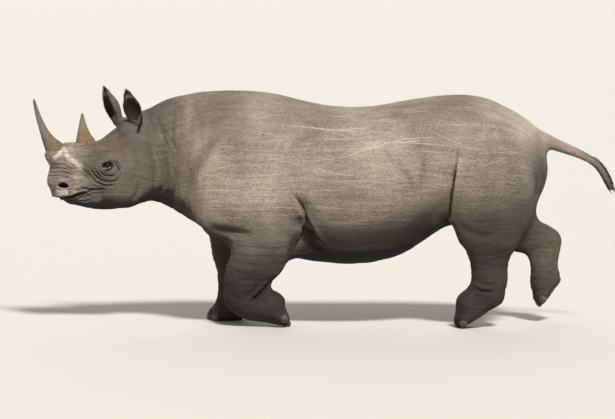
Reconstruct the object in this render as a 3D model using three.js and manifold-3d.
// Adult black rhinoceros, life size, in mid-stride.
//
// Millimetres, +Z up. The animal faces -X, its left side is -Y and the floor is Z = 0.
// The origin is the middle of the whole length, under the midline of the trunk.
//
// The flesh is one smooth field, negative inside: lofted sections along the spine, muscle
// masses and tapering limbs, all blended. Each named part is the field meshed over its own
// region at its own fineness, then trimmed by planes that leave a thin gap to its neighbours.
// Horns, ears, eyes and nails are solids of their own, set into pockets cut to fit them.

import * as THREE from 'three';
import { mergeVertices } from 'three/addons/utils/BufferGeometryUtils.js';
import Module from 'manifold-3d';

const wasm = await Module();
wasm.setup();

const { sin, cos, sqrt, abs, min, max, hypot, atan2, PI } = Math;

// ---------------------------------------------------------------------------------------
// Driving dimensions
// ---------------------------------------------------------------------------------------

const GAP = 0.6; // between neighbouring solids
const BIG = 6000; // side of the boxes that stand for half spaces

// Trunk, from the base of the neck to the buttocks. At each station along X: the height of
// the top line and of the underside, half the width, and the height where it is widest.
const TRUNK = [
  { at: 'poll', x: -1218, top: 1330, bottom: 786, half: 147, widest: 1053 },
  { at: 'nape', x: -1076, top: 1407, bottom: 778, half: 161, widest: 1053 },
  { at: 'mid neck', x: -954, top: 1454, bottom: 723, half: 189, widest: 1026 },
  { at: 'neck base', x: -820, top: 1487, bottom: 643, half: 236, widest: 989 },
  { at: 'withers', x: -673, top: 1500, bottom: 549, half: 277, widest: 952 },
  { at: 'chest', x: -535, top: 1496, bottom: 495, half: 302, widest: 916 },
  { at: 'girth', x: -387, top: 1496, bottom: 456, half: 332, widest: 897 },
  { at: 'ribs', x: -185, top: 1445, bottom: 418, half: 374, widest: 870 },
  { at: 'back', x: 41, top: 1401, bottom: 390, half: 405, widest: 852 },
  { at: 'belly', x: 275, top: 1394, bottom: 388, half: 416, widest: 852 },
  { at: 'loin', x: 513, top: 1433, bottom: 454, half: 394, widest: 897 },
  { at: 'groin', x: 777, top: 1473, bottom: 627, half: 355, widest: 971 },
  { at: 'hip', x: 983, top: 1467, bottom: 701, half: 330, widest: 1016 },
  { at: 'croup', x: 1190, top: 1398, bottom: 678, half: 298, widest: 1016 },
  { at: 'rump', x: 1433, top: 1392, bottom: 696, half: 261, widest: 1007 },
];
const RUMP_ROUND = { from: 1099, to: 1434, level: 1003 }; // where the trunk rounds off behind

// Skull, muzzle and lips, in the head's own straight frame.
const SKULL = [
  { at: 'nose', x: -1771, top: 1073, bottom: 821, half: 60, widest: 916 },
  { at: 'nostrils', x: -1722, top: 1095, bottom: 824, half: 81, widest: 907 },
  { at: 'front horn', x: -1681, top: 1161, bottom: 824, half: 94, widest: 925 },
  { at: 'saddle', x: -1639, top: 1163, bottom: 826, half: 99, widest: 943 },
  { at: 'rear horn', x: -1548, top: 1156, bottom: 824, half: 104, widest: 971 },
  { at: 'brow', x: -1441, top: 1176, bottom: 820, half: 125, widest: 994 },
  { at: 'forehead', x: -1364, top: 1233, bottom: 815, half: 134, widest: 998 },
  { at: 'crown', x: -1282, top: 1289, bottom: 806, half: 137, widest: 1016 },
  { at: 'poll', x: -1181, top: 1342, bottom: 797, half: 145, widest: 1044 },
];
const NOSE_ROUND = { from: -1707, to: -1773, level: 921 };

// Lower jaw, from the chin to the angle under the ears.
const JAW = [
  { at: 'chin', x: -1701, top: 838, bottom: 786, half: 57, widest: 821 },
  { at: 'lower lip', x: -1607, top: 879, bottom: 767, half: 75, widest: 829 },
  { at: 'mid jaw', x: -1493, top: 897, bottom: 742, half: 90, widest: 829 },
  { at: 'cheek', x: -1387, top: 916, bottom: 735, half: 110, widest: 842 },
  { at: 'jaw angle', x: -1275, top: 934, bottom: 751, half: 126, widest: 861 },
  { at: 'throat', x: -1180, top: 952, bottom: 780, half: 128, widest: 879 },
];
const CHIN_ROUND = { from: -1648, to: -1705, level: 813 };

// Rounded masses over the bones, on both sides unless the middle is named: centre, radii,
// and pitch, the lean of the mass in degrees about Y.
const HEAD_MASSES = [
  { at: 'jaw muscle', centre: [-1289, 95, 902], radii: [158, 73, 154], pitch: 0 },
  { at: 'eye socket', centre: [-1390, 103, 1027], radii: [103, 42, 55], pitch: -8 },
  { at: 'cheekbone', centre: [-1328, 112, 980], radii: [137, 42, 44], pitch: 8 },
  { at: 'ear base', centre: [-1255, 77, 1238], radii: [68, 53, 84], pitch: -10 },
  { at: 'nostril pad', centre: [-1686, 53, 893], radii: [62, 41, 57], pitch: 10 },
  { at: 'lip edge', centre: [-1616, 64, 855], radii: [101, 33, 29], pitch: -6 },
  { at: 'lip tip', centre: [-1711, 0, 858], radii: [42, 40, 41], pitch: 30 },
  { at: 'front horn boss', centre: [-1709, 0, 1067], radii: [73, 77, 99], pitch: -32 },
  { at: 'rear horn boss', centre: [-1535, 0, 1128], radii: [99, 73, 48], pitch: 0 },
];
const SHOULDER_MASSES = [
  { at: 'shoulder blade', centre: [-600, 212, 1026], radii: [188, 126, 366], pitch: 8 },
  { at: 'triceps', centre: [-412, 240, 733], radii: [215, 117, 206], pitch: 0 },
  { at: 'point of shoulder', centre: [-641, 203, 760], radii: [174, 136, 220], pitch: 0 },
];
const HIP_MASSES = [
  { at: 'thigh', centre: [1113, 212, 916], radii: [291, 147, 366], pitch: 0 },
  { at: 'buttock', centre: [1259, 151, 973], radii: [158, 128, 229], pitch: 0 },
  { at: 'stifle', centre: [973, 240, 733], radii: [161, 106, 188], pitch: 0 },
];

// Limbs: joints from the body down. r is the radius seen from the side, and side_share is
// what part of it the limb has across.
const LEFT_FORE = {
  side: -1,
  joints: [
    { x: -385, y: 236, z: 696, r: 216, side_share: 0.56 },
    { x: -353, y: 231, z: 590, r: 212, side_share: 0.56 },
    { x: -399, y: 225, z: 458, r: 188, side_share: 0.58 },
    { x: -445, y: 218, z: 378, r: 163, side_share: 0.6 },
    { x: -485, y: 211, z: 295, r: 137, side_share: 0.64 },
    { x: -524, y: 203, z: 190, r: 106, side_share: 0.74 },
    { x: -462, y: 201, z: 136, r: 95, side_share: 0.84 },
  ],
  foot: { x: -242, y: 200, z: 124, pitch: -113, ankle: [38, 117] },
};
const RIGHT_FORE = {
  side: 1,
  joints: [
    { x: -568, y: 236, z: 678, r: 212, side_share: 0.56 },
    { x: -564, y: 229, z: 551, r: 194, side_share: 0.58 },
    { x: -595, y: 220, z: 417, r: 139, side_share: 0.7 },
    { x: -604, y: 211, z: 291, r: 93, side_share: 0.9 },
    { x: -600, y: 203, z: 207, r: 90, side_share: 0.92 },
    { x: -606, y: 198, z: 128, r: 92, side_share: 0.95 },
  ],
  foot: { x: -643, y: 194, z: 0, pitch: 0, ankle: [31, 103] },
};
const LEFT_HIND = {
  side: -1,
  joints: [
    { x: 1062, y: 245, z: 733, r: 240, side_share: 0.5 },
    { x: 1062, y: 231, z: 655, r: 231, side_share: 0.5 },
    { x: 1064, y: 220, z: 559, r: 170, side_share: 0.58 },
    { x: 1062, y: 207, z: 476, r: 126, side_share: 0.66 },
    { x: 1063, y: 198, z: 385, r: 114, side_share: 0.72 },
    { x: 1065, y: 194, z: 293, r: 114, side_share: 0.74 },
    { x: 1055, y: 190, z: 220, r: 112, side_share: 0.78 },
  ],
  foot: { x: 967, y: 189, z: 49, pitch: -32, ankle: [27, 103] },
};
const RIGHT_HIND = {
  side: 1,
  joints: [
    { x: 1090, y: 240, z: 723, r: 234, side_share: 0.5 },
    { x: 1190, y: 229, z: 632, r: 179, side_share: 0.58 },
    { x: 1310, y: 212, z: 559, r: 123, side_share: 0.66 },
    { x: 1427, y: 200, z: 511, r: 103, side_share: 0.72 },
    { x: 1410, y: 196, z: 430, r: 95, side_share: 0.76 },
    { x: 1417, y: 192, z: 362, r: 79, side_share: 0.9 },
  ],
  foot: { x: 1463, y: 190, z: 188, pitch: -53, ankle: [48, 106] },
};
const HEEL_PAD = { centre: [1092, -189, 179], radii: [70, 71, 64], pitch: 40 };

// Foot, in its own frame: sole at Z = 0, toes towards -X.
const FOOT = {
  pad: { centre: [11, 0, 31], radii: [117, 103, 68] },
  cuff: { centre: [24, 0, 88], radii: [92, 84, 70] },
  toe: { reach: 84, height: 31, radii: [46, 40, 48] },
  spread: [0, 52, -52], // degrees from straight ahead: middle, outer and inner toe
};
const NAIL = { reach: 97, height: 24, radii: [33, 33, 40], lean: 24 };

// Tail: its centre line in the plane of symmetry, from inside the rump to the tip of its
// tuft, and its radius up and down at each end. It is this much narrower across.
const TAIL = {
  line: [[1319, 1218], [1429, 1174], [1524, 1138], [1653, 1087], [1748, 1029], [1800, 954], [1842, 864]],
  root: 64,
  thin: 25,
  end: 11,
  across: 0.8,
  // rings, where its stem is thin and its tip begins, as fractions of its length, and how fast
  // the stem thins; the tip is rounded off by this many millimetres
  shape: { steps: 12, thinned: 0.62, thinning: 1.6, tip_from: 0.84, tip: 6 },
};

// Neck bend: the head turns to its left over this stretch of the spine.
const TURN = { from: -916, over: 238, degrees: 11 };

// Horns, in the head's straight frame: the middle of the base, the control point and the
// tip of the curve that each follows, as [x, z], and its radius, the sum of a blunt tip, an
// even taper and a flare at the foot that dies out as fast as fade says.
const HORNS = {
  horn_front: {
    curve: [[-1711, 1106], [-1806, 1211], [-1857, 1441]],
    radius: { tip: 7, taper: 38, flare: 42, fade: 5, across: 0.88 },
  },
  horn_rear: {
    curve: [[-1527, 1156], [-1548, 1236], [-1548, 1348]],
    radius: { tip: 7, taper: 53, flare: 20, fade: 4, across: 0.72 },
  },
};
const HORN_ROOT = 42; // how far a horn reaches into the skin around it

const EYE = { centre: [-1397, 136, 1024], radius: 23 };
const NOSTRIL = { centre: [-1680, 105, 896], radii: [33, 30, 24], pitch: 14 };

// Ears: a turned leaf with a wall this thick, its radius at each height, hollowed from the
// side that the mouth faces. Each leans forward and outward, and its mouth is turned from
// straight ahead towards the animal's own side, in degrees.
const EAR = {
  wall: 8,
  floor: 42,
  mouth_shift: 37,
  flat: 0.84,
  tip: 260,
  profile: [[37, 0], [42, 37], [50, 73], [57, 110], [55, 143], [41, 181], [23, 220]],
};
const EARS = {
  ear_left: { side: -1, base: [-1199, 93, 1277], forward: 20, outward: 16, turn: 84 },
  ear_right: { side: 1, base: [-1304, 81, 1278], forward: 22, outward: 6, turn: -28 },
};

// Where one part ends and the next begins: a point of each cut and the way it faces.
const NECK_END = -1183; // in the head's straight frame
const TRUNK_CUT = { point: [-806, 0, 916], normal: [-1, 0, -0.12] };
const TAIL_CUT = { point: [1711, 0, 1055], normal: [0.85, 0, -0.53] };
const KNEE_CUTS = {
  left_fore: { point: [-499, 0, 266], normal: [-0.42, 0, -0.91] },
  right_fore: { point: [-600, 0, 316], normal: [0, 0, -1] },
  left_hind: { point: [1062, 0, 476], normal: [0, 0, -1] },
  right_hind: { point: [1355, 0, 540], normal: [0.86, 0, -0.5] },
};
const ANKLE_RISE = 5; // of the cut above a foot, over the end of the shank

// The space that each pair of legs takes from the trunk: from and to along X, and the height
// of its roof, which starts this far off the midline and slopes up outwards.
const FORE_SPACE = { from: -897, to: -147, roof: 414 };
const HIND_SPACE = { from: 775, to: 1740, roof: 586 };
const ROOF = { slope: 42, inset: 55 };

// Over what distance neighbouring masses round into each other.
const SOFT = {
  bones: 24,
  toes: 20,
  foot: 33,
  ankle: 42,
  jaw: 31,
  face: 33,
  throat: 55,
  shoulder: 73,
  hip: 64,
  leg: 40,
  heel: 37,
  tail: 55,
};
const SHANK = { r: 86, side_share: 0.96 }; // where it enters the foot
const BODY_FULLNESS = 2.12; // 2 makes sections ellipses, more makes them squarer
const HEAD_FULLNESS = 2.35;

// Meshing: cell size of each region, along X, Y and Z.
const CELLS = {
  trunk: [140, 118, 118],
  neck: [92, 82, 84],
  head: [36.5, 34, 36],
  upper: [100, 84, 92],
  lower: [70, 59, 70],
  foot: [65, 60, 51],
};

// The box that each region is meshed in, by its lowest and highest corners.
const BOXES = {
  head: [[-1890, -390, 670], [-1080, 190, 1430]],
  neck: [[-1310, -340, 500], [-710, 310, 1580]],
  trunk: [[-1100, -660, 240], [1650, 660, 1700]],
};

// A leg's box runs this far past its joints along X, this far across the midline and out to
// its own side, and from under the floor to the height of the part. A foot's is shorter.
const LEG_BOX = { past: 370, across: 28, out: 570, under: 75, thigh: 915, shank: 700 };
const FOOT_BOX = { past: 240, height: 275 };

// Each set of masses counts only on its own side of these lines, well clear of its reach.
const HEAD_REACH = -1005;
const FORE_REACH = 90;
const HIND_REACH = 550;

// Rings and faces of the turned and swept parts.
const HORN_RINGS = 7;
const HORN_SIDES = 10;
const TAIL_SIDES = 8;
const EAR_SIDES = 10;

// ---------------------------------------------------------------------------------------
// Field: negative inside the flesh, about a distance in millimetres near the skin
// ---------------------------------------------------------------------------------------

const rad = (degrees) => (degrees * PI) / 180;

// The union of two fields, rounded where they meet over the distance k.
function blend(a, b, k) {
  const h = max(k - abs(a - b), 0) / k;
  return min(a, b) - (h * h * k) / 4;
}

// A smooth curve through the stations' values of one key, as a function of x.
function through(stations, key) {
  const xs = stations.map((s) => s.x);
  const ys = stations.map((s) => s[key]);
  const last = xs.length - 1;
  const slopes = xs.map((_, i) => {
    const a = max(i - 1, 0);
    const b = min(i + 1, last);
    return (ys[b] - ys[a]) / (xs[b] - xs[a]);
  });
  return (x) => {
    if (x <= xs[0]) return ys[0];
    if (x >= xs[last]) return ys[last];
    let i = 0;
    while (x > xs[i + 1]) i += 1;
    const span = xs[i + 1] - xs[i];
    const t = (x - xs[i]) / span;
    const rise = t * t * (3 - 2 * t);
    const bow = t * (1 - t);
    return (
      ys[i] * (1 - rise) +
      ys[i + 1] * rise +
      span * bow * (slopes[i] * (1 - t) - slopes[i + 1] * t)
    );
  };
}

// A loft of oval sections that stand across X. round closes one end with an ellipse, which
// shrinks the sections towards its level.
function loft(stations, fullness, round) {
  const ordered = [...stations].sort((a, b) => a.x - b.x);
  const [top, bottom, half, widest] = ['top', 'bottom', 'half', 'widest'].map((key) =>
    through(ordered, key),
  );
  const first = ordered[0].x;
  const last = ordered[ordered.length - 1].x;
  return (x, y, z) => {
    const along = max((x - round.from) / (round.to - round.from), 0);
    const share = sqrt(max(1 - along * along, 0.002));
    const up = z - round.level - (widest(x) - round.level) * share;
    const high = abs((up > 0 ? top(x) : bottom(x)) - widest(x)) * share;
    const wide = half(x) * share;
    const out = (abs(y / wide) ** fullness + abs(up / high) ** fullness) ** (1 / fullness);
    const radial = hypot(y, up);
    const side = out < 1e-6 ? -min(wide, high) : radial - radial / out;
    const ends = max(first - x, x - last);
    return max(side, ends);
  };
}

// An ellipsoid that leans about Y.
function ellipsoid({ centre, radii, pitch = 0 }, side = 1) {
  const [cx, cy, cz] = centre;
  const [a, b, c] = radii;
  const s = sin(rad(pitch));
  const k = cos(rad(pitch));
  return (x, y, z) => {
    const dx = x - cx;
    const dy = y - cy * side;
    const dz = z - cz;
    const u = (dx * k - dz * s) / a;
    const v = dy / b;
    const w = (dx * s + dz * k) / c;
    const scaled = hypot(u, v, w);
    const slope = hypot(u / a, v / b, w / c);
    return slope < 1e-9 ? -min(a, b, c) : (scaled * (scaled - 1)) / slope;
  };
}

// A tapering limb through its joints, thinner across than along the body.
function limb(joints, side) {
  const bones = joints.slice(1).map((end, i) => ({ start: joints[i], end }));
  return (x, y, z) => {
    let nearest = Infinity;
    for (const { start, end } of bones) {
      const ax = end.x - start.x;
      const ay = (end.y - start.y) * side;
      const az = end.z - start.z;
      const px = x - start.x;
      const py = y - start.y * side;
      const pz = z - start.z;
      const t = min(max((px * ax + py * ay + pz * az) / (ax * ax + ay * ay + az * az), 0), 1);
      const r = start.r + (end.r - start.r) * t;
      const share = start.side_share + (end.side_share - start.side_share) * t;
      const d = hypot(px - ax * t, (py - ay * t) / share, pz - az * t) - r;
      nearest = nearest === Infinity ? d : blend(nearest, d, SOFT.bones);
    }
    return nearest;
  };
}

// World coordinates to a foot's own frame, and back.
function footFrame({ foot, side }) {
  const k = cos(rad(foot.pitch));
  const s = sin(rad(foot.pitch));
  return {
    enter: (x, y, z) => {
      const dx = x - foot.x;
      const dz = z - foot.z;
      return [dx * k - dz * s, y - foot.y * side, dx * s + dz * k];
    },
    leave: (u, v, w) => [foot.x + u * k + w * s, foot.y * side + v, foot.z - u * s + w * k],
  };
}

function foot(leg) {
  const { enter } = footFrame(leg);
  const pad = ellipsoid(FOOT.pad);
  const cuff = ellipsoid(FOOT.cuff);
  const toes = FOOT.spread.map((turn) =>
    ellipsoid({
      centre: [-FOOT.toe.reach * cos(rad(turn)), FOOT.toe.reach * sin(rad(turn)), FOOT.toe.height],
      radii: FOOT.toe.radii,
    }),
  );
  return (x, y, z) => {
    const p = enter(x, y, z);
    let d = blend(pad(...p), cuff(...p), SOFT.foot);
    for (const toe of toes) d = blend(d, toe(...p), SOFT.toes);
    return d;
  };
}

function leg(spec) {
  const ankle = footFrame(spec).leave(spec.foot.ankle[0], 0, spec.foot.ankle[1]);
  const shank = { x: ankle[0], y: abs(ankle[1]), z: ankle[2], ...SHANK };
  const bones = limb([...spec.joints, shank], spec.side);
  const sole = foot(spec);
  return (x, y, z) => blend(bones(x, y, z), sole(x, y, z), SOFT.ankle);
}

// The spine is modelled straight. unbend takes a point of the turned neck or head to it.
const TURN_RADIUS = TURN.over / rad(TURN.degrees);
function unbend(x, y) {
  if (x >= TURN.from) return [x, y];
  const forward = TURN.from - x;
  const across = y + TURN_RADIUS;
  const angle = min(atan2(forward, across), rad(TURN.degrees));
  const along = forward * cos(angle) - across * sin(angle);
  const off = forward * sin(angle) + across * cos(angle);
  return [TURN.from - TURN_RADIUS * angle - along, off - TURN_RADIUS];
}

const trunk = loft(TRUNK, BODY_FULLNESS, RUMP_ROUND);
const skull = loft(SKULL, HEAD_FULLNESS, NOSE_ROUND);
const jaw = loft(JAW, HEAD_FULLNESS, CHIN_ROUND);
const sidesOf = (mass) => (mass.centre[1] ? [1, -1] : [1]);
const pairs = (masses) => masses.flatMap((m) => sidesOf(m).map((side) => ellipsoid(m, side)));
const headMasses = pairs(HEAD_MASSES);
const shoulderMasses = pairs(SHOULDER_MASSES);
const hipMasses = pairs(HIP_MASSES);
const foreLegs = [LEFT_FORE, RIGHT_FORE].map(leg);
const hindLegs = [LEFT_HIND, RIGHT_HIND].map(leg);
const heelPad = ellipsoid(HEEL_PAD);
const [tailHead, tailNext] = TAIL.line.map(([x, z]) => ({ x, y: 0, z, r: TAIL.root, side_share: 0.9 }));
const tailRoot = limb([tailHead, { ...tailNext, r: TAIL.root * 0.62 }], 1);

function head(x, y, z) {
  let d = blend(skull(x, y, z), jaw(x, y, z), SOFT.jaw);
  for (const mass of headMasses) d = blend(d, mass(x, y, z), SOFT.face);
  return d;
}

function flesh(x, y, z) {
  const [sx, sy] = unbend(x, y);
  let d = trunk(sx, sy, z);
  if (sx < HEAD_REACH) d = blend(d, head(sx, sy, z), SOFT.throat);
  if (x < FORE_REACH) {
    for (const mass of shoulderMasses) d = blend(d, mass(x, y, z), SOFT.shoulder);
    for (const field of foreLegs) d = blend(d, field(x, y, z), SOFT.leg);
  }
  if (x > HIND_REACH) {
    for (const mass of hipMasses) d = blend(d, mass(x, y, z), SOFT.hip);
    for (const field of hindLegs) d = blend(d, field(x, y, z), SOFT.leg);
    d = blend(d, heelPad(x, y, z), SOFT.heel);
    d = blend(d, tailRoot(x, y, z), SOFT.tail);
  }
  return d;
}

// ---------------------------------------------------------------------------------------
// Meshing and cutting
// ---------------------------------------------------------------------------------------

// Moves a point along the field's slope onto its zero surface.
function ontoSurface(field, p, reach) {
  const h = 1;
  for (let pass = 0; pass < 3; pass += 1) {
    const d = field(...p);
    const g = [0, 1, 2].map((i) => {
      const q = [...p];
      q[i] += h;
      return (field(...q) - d) / h;
    });
    const steep = g[0] ** 2 + g[1] ** 2 + g[2] ** 2;
    if (steep < 1e-6) return p;
    const step = min(max(d / steep, -reach), reach);
    p = p.map((v, i) => v - g[i] * step);
  }
  return p;
}

// The corners, edges and faces of one cell of the grid. A corner's number holds its place
// along X, Y and Z in its lowest three bits.
const CORNERS = [0, 1, 2, 3, 4, 5, 6, 7].map((c) => [c & 1, (c >> 1) & 1, (c >> 2) & 1]);
const EDGES = [0, 1, 2].flatMap((axis) =>
  CORNERS.flatMap((corner, start) => (corner[axis] ? [] : [{ start, end: start | (1 << axis) }])),
);
const edgeBetween = (a, b) =>
  EDGES.findIndex(({ start, end }) => min(a, b) === start && max(a, b) === end);
const CELL_FACES = [0, 1, 2].flatMap((axis) =>
  [0, 1].map((side) => {
    const [u, v] = [1 << (axis + 1) % 3, 1 << (axis + 2) % 3];
    const ring = [0, u, u | v, v].map((c) => c | (side << axis));
    return ring.map((corner, i) => ({ corner, edge: edgeBetween(corner, ring[(i + 1) % 4]) }));
  }),
);

// The four cells around an edge of the grid, in turn.
const AROUND = [[0, 0], [1, 0], [1, 1], [0, 1]];

// Which crossed edges of a cell lie on the same sheet of surface, as a list of sheets.
function sheetsOf(inside) {
  const crossed = EDGES.map(({ start, end }) => inside[start] !== inside[end]);
  const sheet = EDGES.map((_, i) => i);
  const join = (a, b) => {
    const [from, to] = [sheet[a], sheet[b]];
    sheet.forEach((value, i) => {
      if (value === from) sheet[i] = to;
    });
  };
  for (const face of CELL_FACES) {
    const cuts = face.filter(({ edge }) => crossed[edge]);
    if (cuts.length === 2) join(cuts[0].edge, cuts[1].edge);
    if (cuts.length === 4)
      face.forEach(({ corner, edge }, i) => {
        if (inside[corner]) join(edge, face[(i + 3) % 4].edge);
      });
  }
  const sheets = new Map();
  crossed.forEach((is, i) => {
    if (is) sheets.set(sheet[i], [...(sheets.get(sheet[i]) ?? []), i]);
  });
  return [...sheets.values()];
}

// The solid that the field's zero surface encloses inside a box: a vertex for each sheet of
// surface in each cell it crosses. The box's own faces close what they cut.
function surfaceOf(field, low, high, cell) {
  const size = [0, 1, 2].map((n) => Math.ceil((high[n] - low[n]) / cell[n]) + 3);
  const at = (place, n) => low[n] + (place - 1) * cell[n];
  const index = ([i, j, k]) => (i * size[1] + j) * size[2] + k;
  const shifted = (p, offset, sign = 1) => p.map((v, n) => v + offset[n] * sign);
  const places = [];
  for (let i = 0; i < size[0]; i += 1)
    for (let j = 0; j < size[1]; j += 1)
      for (let k = 0; k < size[2]; k += 1) places.push([i, j, k]);
  const values = places.map((p) => {
    const rim = p.some((v, n) => v === 0 || v === size[n] - 1);
    return rim ? min(...cell) : field(...p.map(at)) || 1e-9;
  });

  const positions = [];
  const vertexOf = new Map();
  for (const p of places) {
    if (p.some((v, n) => v === size[n] - 1)) continue;
    const v = CORNERS.map((c) => values[index(shifted(p, c))]);
    const inside = v.map((value) => value < 0);
    if (inside.every((is) => is === inside[0])) continue;
    for (const sheet of sheetsOf(inside)) {
      const mean = [0, 0, 0];
      for (const edge of sheet) {
        const { start, end } = EDGES[edge];
        const t = v[start] / (v[start] - v[end]);
        for (let n = 0; n < 3; n += 1)
          mean[n] += (CORNERS[start][n] + (CORNERS[end][n] - CORNERS[start][n]) * t) / sheet.length;
        vertexOf.set(index(p) * EDGES.length + edge, positions.length);
      }
      const point = shifted(p, mean).map(at);
      const clear = point.every((at, n) => at > low[n] + cell[n] && at < high[n] - cell[n]);
      positions.push(clear ? ontoSurface(field, point, min(...cell) * 0.3) : point);
    }
  }

  const faces = [];
  for (const p of places)
    for (let axis = 0; axis < 3; axis += 1) {
      const step = [0, 0, 0];
      step[axis] = 1;
      if (p.some((v, n) => v + step[n] === size[n])) continue;
      const here = values[index(p)] < 0;
      if (here === values[index(shifted(p, step))] < 0) continue;
      const ring = AROUND.map(([a, b]) => {
        const offset = [0, 0, 0];
        offset[(axis + 1) % 3] = a;
        offset[(axis + 2) % 3] = b;
        const start = offset[0] | (offset[1] << 1) | (offset[2] << 2);
        const edge = edgeBetween(start, start | (1 << axis));
        return vertexOf.get(index(shifted(p, offset, -1)) * EDGES.length + edge);
      });
      if (!here) ring.reverse();
      const [a, b, c, d] = ring;
      const span = (i, j) => hypot(...positions[i].map((v, n) => v - positions[j][n]));
      faces.push(...(span(a, c) < span(b, d) ? [a, b, c, a, c, d] : [b, c, d, b, d, a]));
    }
  return solidOf(positions.flat(), faces);
}

// A mesh whose corners are shared, as a solid.
function solidOf(positions, faces) {
  const vertProperties = new Float32Array(positions);
  const triVerts = new Uint32Array(faces);
  return new wasm.Manifold(new wasm.Mesh({ numProp: 3, vertProperties, triVerts }));
}

// A closed three.js geometry as a solid, after an optional placing.
function solid(geometry, placing = new THREE.Matrix4()) {
  const bare = geometry.clone().applyMatrix4(placing);
  for (const name of Object.keys(bare.attributes))
    if (name !== 'position') bare.deleteAttribute(name);
  const merged = mergeVertices(bare, 1e-3);
  return solidOf(merged.getAttribute('position').array, merged.index.array);
}

function geometryOf(manifold) {
  const { vertProperties, triVerts, numProp } = manifold.getMesh();
  const positions = [];
  for (let i = 0; i < vertProperties.length; i += numProp)
    positions.push(vertProperties[i], vertProperties[i + 1], vertProperties[i + 2]);
  const geometry = new THREE.BufferGeometry();
  geometry.setAttribute('position', new THREE.Float32BufferAttribute(positions, 3));
  geometry.setIndex([...triVerts]);
  geometry.computeVertexNormals();
  return geometry;
}

// The half space on the far side of a plane, as a big box. The plane goes through a point,
// and the box stands on the side that its normal points to, back from it by half the gap.
function beyond(point, normal) {
  const n = new THREE.Vector3(...normal).normalize();
  const turn = new THREE.Quaternion().setFromUnitVectors(new THREE.Vector3(0, 0, 1), n);
  const centre = new THREE.Vector3(...point).addScaledVector(n, BIG / 2 - GAP / 2);
  const placing = new THREE.Matrix4().compose(centre, turn, new THREE.Vector3(1, 1, 1));
  return solid(new THREE.BoxGeometry(BIG, BIG, BIG), placing);
}

// The largest of the bodies that a cut leaves.
function largest(manifold) {
  return manifold.decompose().sort((a, b) => b.volume() - a.volume())[0];
}

// Flesh inside a box, less what lies beyond each plane and inside each other solid.
function fleshIn(low, high, cell, cuts) {
  let made = surfaceOf(flesh, low, high, cell);
  for (const cut of cuts) made = made.subtract(cut);
  return largest(made);
}

// ---------------------------------------------------------------------------------------
// Regions
// ---------------------------------------------------------------------------------------

const floor = beyond([0, 0, -GAP / 2], [0, 0, -1]);
const turnHead = rad(TURN.degrees);
const headForward = [-cos(turnHead), -sin(turnHead), 0];

// A point of the head's straight frame in the world.
function bend(x, y, z) {
  const beyondTurn = TURN.from - TURN.over - x;
  const root = [TURN.from - TURN_RADIUS * sin(turnHead), -TURN_RADIUS * (1 - cos(turnHead))];
  return [
    root[0] - cos(turnHead) * beyondTurn - sin(turnHead) * y,
    root[1] - sin(turnHead) * beyondTurn + cos(turnHead) * y,
    z,
  ];
}

const NECK_CUT = { point: bend(NECK_END, 0, 0), normal: headForward };
const opposite = ({ point, normal }) => beyond(point, normal.map((v) => -v));
const past = ({ point, normal }) => beyond(point, normal);

// A box by its lowest and highest corners, grown all round.
function block(low, high, grow = 0) {
  const size = low.map((v, n) => high[n] - v + 2 * grow);
  const middle = low.map((v, n) => (v + high[n]) / 2);
  return solid(new THREE.BoxGeometry(...size), new THREE.Matrix4().makeTranslation(...middle));
}

// The space that a leg has to itself: a slanting roof that rises outward from the midline,
// and walls before and behind.
function legSpace({ side }, { from, to, roof }, grow = 0) {
  const reach = BIG / 3;
  const roofed = new THREE.Matrix4()
    .makeTranslation(0, ROOF.inset * side, roof + grow)
    .multiply(new THREE.Matrix4().makeRotationX(rad(ROOF.slope) * side))
    .multiply(new THREE.Matrix4().makeTranslation(0, 0, -reach / 2));
  const under = solid(new THREE.BoxGeometry(BIG, reach, reach), roofed);
  const low = [from - grow, side > 0 ? ROOF.inset - grow : -reach, -reach];
  const high = [to + grow, side > 0 ? reach : grow - ROOF.inset, reach];
  return under.intersect(block(low, high));
}

// ---------------------------------------------------------------------------------------
// Parts
// ---------------------------------------------------------------------------------------

const HIDE = { color: 0x82776b, roughness: 0.85, metalness: 0 };
const HORN = { color: 0x6f6450, roughness: 0.55, metalness: 0 };
const NAIL_HORN = { color: 0x5d4f40, roughness: 0.6, metalness: 0 };
const WET_EYE = { color: 0x1a100b, roughness: 0.1, metalness: 0 };

const animal = new THREE.Group();

function add(name, manifold, look) {
  const mesh = new THREE.Mesh(geometryOf(manifold), new THREE.MeshStandardMaterial(look));
  mesh.name = name;
  animal.add(mesh);
}

// Places what is modelled in the head's straight frame at (x, y, z).
function onHead(x, y, z) {
  const turned = new THREE.Matrix4().makeRotationZ(turnHead);
  return new THREE.Matrix4().makeTranslation(...bend(x, y, z)).multiply(turned);
}

// A curve's control points, which all lie in the plane of symmetry.
const inPlane = (points) => points.map(([x, z]) => new THREE.Vector3(x, 0, z));

// Rings swept along a curve in the XZ plane. profile lists the fraction of the curve and
// the radius of each ring; a fraction below 0 or above 1 runs on straight, in millimetres.
function sweep(curve, profile, around, across) {
  const geometry = new THREE.LatheGeometry(
    profile.map(([, r], i) => new THREE.Vector2(r, i)),
    around,
  );
  const p = geometry.getAttribute('position');
  for (let i = 0; i < p.count; i += 1) {
    const along = profile[Math.round(p.getY(i))][0];
    const t = min(max(along, 0), 1);
    const heading = curve.getTangent(t);
    const middle = curve.getPoint(t).addScaledVector(heading, along - t);
    const out = p.getX(i);
    p.setXYZ(i, middle.x + heading.z * out, -p.getZ(i) * across, middle.z - heading.x * out);
  }
  return geometry;
}

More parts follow.
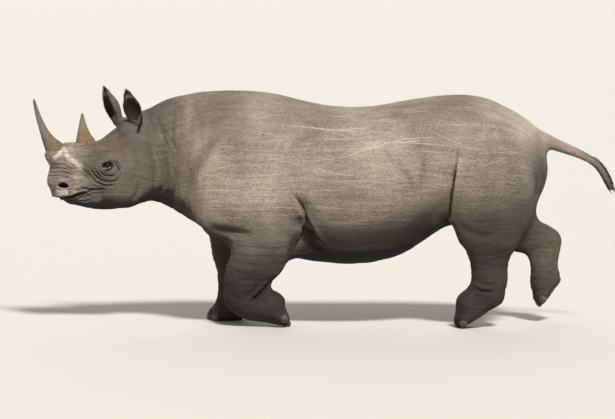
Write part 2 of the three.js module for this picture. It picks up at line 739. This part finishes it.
// A horn shrinks along its curve to a blunt tip. Its root is set into the skin.
function horn({ curve, radius }, grow = 0) {
  const axis = new THREE.QuadraticBezierCurve3(...inPlane(curve));
  const root = -HORN_ROOT - grow;
  const { tip, taper, flare, fade } = radius;
  const at = (t) => tip + taper * (1 - t) + flare * (1 - t) ** fade + grow;
  const profile = [[root, 0], [root, at(0)]];
  for (let i = 1; i <= HORN_RINGS; i += 1) profile.push([i / HORN_RINGS, at(i / HORN_RINGS)]);
  profile.push([1 + tip * 0.7 + grow, 0]);
  return solid(sweep(axis, profile, HORN_SIDES, radius.across), onHead(0, 0, 0));
}

// The tail: a taper from the rump, then the flat tuft.
function tail(grow = 0) {
  const curve = new THREE.CatmullRomCurve3(inPlane(TAIL.line));
  const { steps, thinned, thinning, tip, tip_from } = TAIL.shape;
  const profile = [[-grow, 0]];
  for (let i = 0; i <= steps; i += 1) {
    const t = i / steps;
    const stem = TAIL.thin + (TAIL.root - TAIL.thin) * max(1 - t / thinned, 0) ** thinning;
    const closing = max((t - tip_from) / (1 - tip_from), 0);
    profile.push([t, stem - (stem - TAIL.end) * closing ** 2 + grow]);
  }
  profile.push([1 + tip + grow, 0]);
  return solid(sweep(curve, profile, TAIL_SIDES, TAIL.across));
}

// An ear: a turned leaf, flattened, hollowed from the side that its mouth faces.
function ear({ side, base, forward, outward, turn }, grow = 0) {
  const leaf = (wall, start, shift) => {
    const profile = [new THREE.Vector2(0, start)];
    for (const [r, z] of EAR.profile) if (z >= start) profile.push(new THREE.Vector2(r - wall, z));
    profile.push(new THREE.Vector2(0, EAR.tip - wall));
    const geometry = new THREE.LatheGeometry(profile, EAR_SIDES).rotateX(PI / 2);
    return geometry.scale(EAR.flat, 1, 1).translate(-shift, 0, 0);
  };
  const placing = onHead(base[0], base[1] * side, base[2])
    .multiply(new THREE.Matrix4().makeRotationY(rad(-forward)))
    .multiply(new THREE.Matrix4().makeRotationX(rad(-outward) * side))
    .multiply(new THREE.Matrix4().makeRotationZ(rad(-turn) * side));
  if (grow) return solid(leaf(-grow, 0, 0).translate(0, 0, -grow), placing);
  const hollow = solid(leaf(EAR.wall, EAR.floor, EAR.mouth_shift), placing);
  return solid(leaf(0, 0, 0), placing).subtract(hollow);
}

function eye(side, grow = 0) {
  const [x, y, z] = EYE.centre;
  return solid(new THREE.SphereGeometry(EYE.radius + grow, 10, 6), onHead(x, y * side, z));
}

function nostril(side) {
  const [x, y, z] = NOSTRIL.centre;
  const geometry = new THREE.SphereGeometry(1, 8, 6).scale(...NOSTRIL.radii);
  return solid(geometry.rotateY(rad(NOSTRIL.pitch)), onHead(x, y * side, z));
}

// A nail: a flattened bulb set into the toe, cut off level with the sole.
function nail(spec, turn, grow = 0) {
  const geometry = new THREE.SphereGeometry(1, 6, 4);
  geometry.scale(...NAIL.radii.map((r) => r + grow));
  geometry.rotateY(rad(NAIL.lean));
  geometry.translate(-NAIL.reach, 0, NAIL.height);
  geometry.rotateZ(rad(-turn));
  const placing = new THREE.Matrix4()
    .makeTranslation(...footFrame(spec).leave(0, 0, 0))
    .multiply(new THREE.Matrix4().makeRotationY(rad(spec.foot.pitch)));
  return solid(geometry, placing);
}

const hornSolids = Object.entries(HORNS).map(([name, spec]) => ({ name, spec }));
const earSolids = Object.entries(EARS).map(([name, spec]) => ({ name, spec }));
const sides = { left: -1, right: 1 };

const headPockets = [
  ...hornSolids.map(({ spec }) => horn(spec, GAP)),
  ...earSolids.map(({ spec }) => ear(spec, GAP)),
  ...Object.values(sides).flatMap((side) => [eye(side, GAP), nostril(side)]),
];
add('head', fleshIn(...BOXES.head, CELLS.head, [opposite(NECK_CUT), ...headPockets]), HIDE);
const leftEarPocket = ear(EARS.ear_left, GAP);
const neckCuts = [past(NECK_CUT), opposite(TRUNK_CUT), leftEarPocket];
add('neck', fleshIn(...BOXES.neck, CELLS.neck, neckCuts), HIDE);

const legPlans = {
  left_fore: { spec: LEFT_FORE, space: FORE_SPACE },
  right_fore: { spec: RIGHT_FORE, space: FORE_SPACE },
  left_hind: { spec: LEFT_HIND, space: HIND_SPACE },
  right_hind: { spec: RIGHT_HIND, space: HIND_SPACE },
};
const spared = Object.values(legPlans).map(({ spec, space }) => legSpace(spec, space, GAP));
add('trunk', fleshIn(...BOXES.trunk, CELLS.trunk, [past(TRUNK_CUT), ...spared, tail(GAP)]), HIDE);
add('tail', tail().subtract(past(TAIL_CUT)), HIDE);
add('tail_tip', tail().subtract(opposite(TAIL_CUT)), HIDE);

// The box that a leg is meshed in, wide enough for all of it, up to a height.
function legBox({ side, joints, foot: { x } }, height) {
  const xs = [...joints.map((joint) => joint.x), x];
  const y = side < 0 ? [-LEG_BOX.out, LEG_BOX.across] : [-LEG_BOX.across, LEG_BOX.out];
  return [
    [min(...xs) - LEG_BOX.past, y[0], -LEG_BOX.under],
    [max(...xs) + LEG_BOX.past, y[1], height],
  ];
}

for (const [name, { spec, space }] of Object.entries(legPlans)) {
  const frame = footFrame(spec);
  const knee = KNEE_CUTS[name];
  const down = frame.leave(0, 0, -1).map((v, n) => v - frame.leave(0, 0, 0)[n]);
  const ankle = { point: frame.leave(0, 0, spec.foot.ankle[1] + ANKLE_RISE), normal: down };
  const sole = { point: frame.leave(0, 0, 0), normal: down };

  const thigh = surfaceOf(flesh, ...legBox(spec, LEG_BOX.thigh), CELLS.upper);
  add(`${name}_upper_leg`, largest(thigh.intersect(legSpace(spec, space)).subtract(past(knee))), HIDE);

  const shankCuts = [opposite(knee), past(ankle), floor];
  add(`${name}_lower_leg`, fleshIn(...legBox(spec, LEG_BOX.shank), CELLS.lower, shankCuts), HIDE);

  const [low, high] = legBox(spec, spec.foot.z + FOOT_BOX.height);
  low[0] = spec.foot.x - FOOT_BOX.past;
  high[0] = spec.foot.x + FOOT_BOX.past;
  const pockets = FOOT.spread.map((turn) => nail(spec, turn, GAP));
  const cuts = [opposite(ankle), past(sole), floor, opposite(knee), ...pockets];
  add(`${name}_foot`, fleshIn(low, high, CELLS.foot, cuts), HIDE);

  ['middle', 'outer', 'inner'].forEach((toe, i) => {
    add(`${name}_nail_${toe}`, nail(spec, FOOT.spread[i]).subtract(past(sole)).subtract(floor), NAIL_HORN);
  });
}

for (const { name, spec } of hornSolids) add(name, horn(spec), HORN);
for (const { name, spec } of earSolids) add(name, ear(spec), HIDE);
for (const [name, side] of Object.entries(sides)) add(`eye_${name}`, eye(side), WET_EYE);

export default animal;
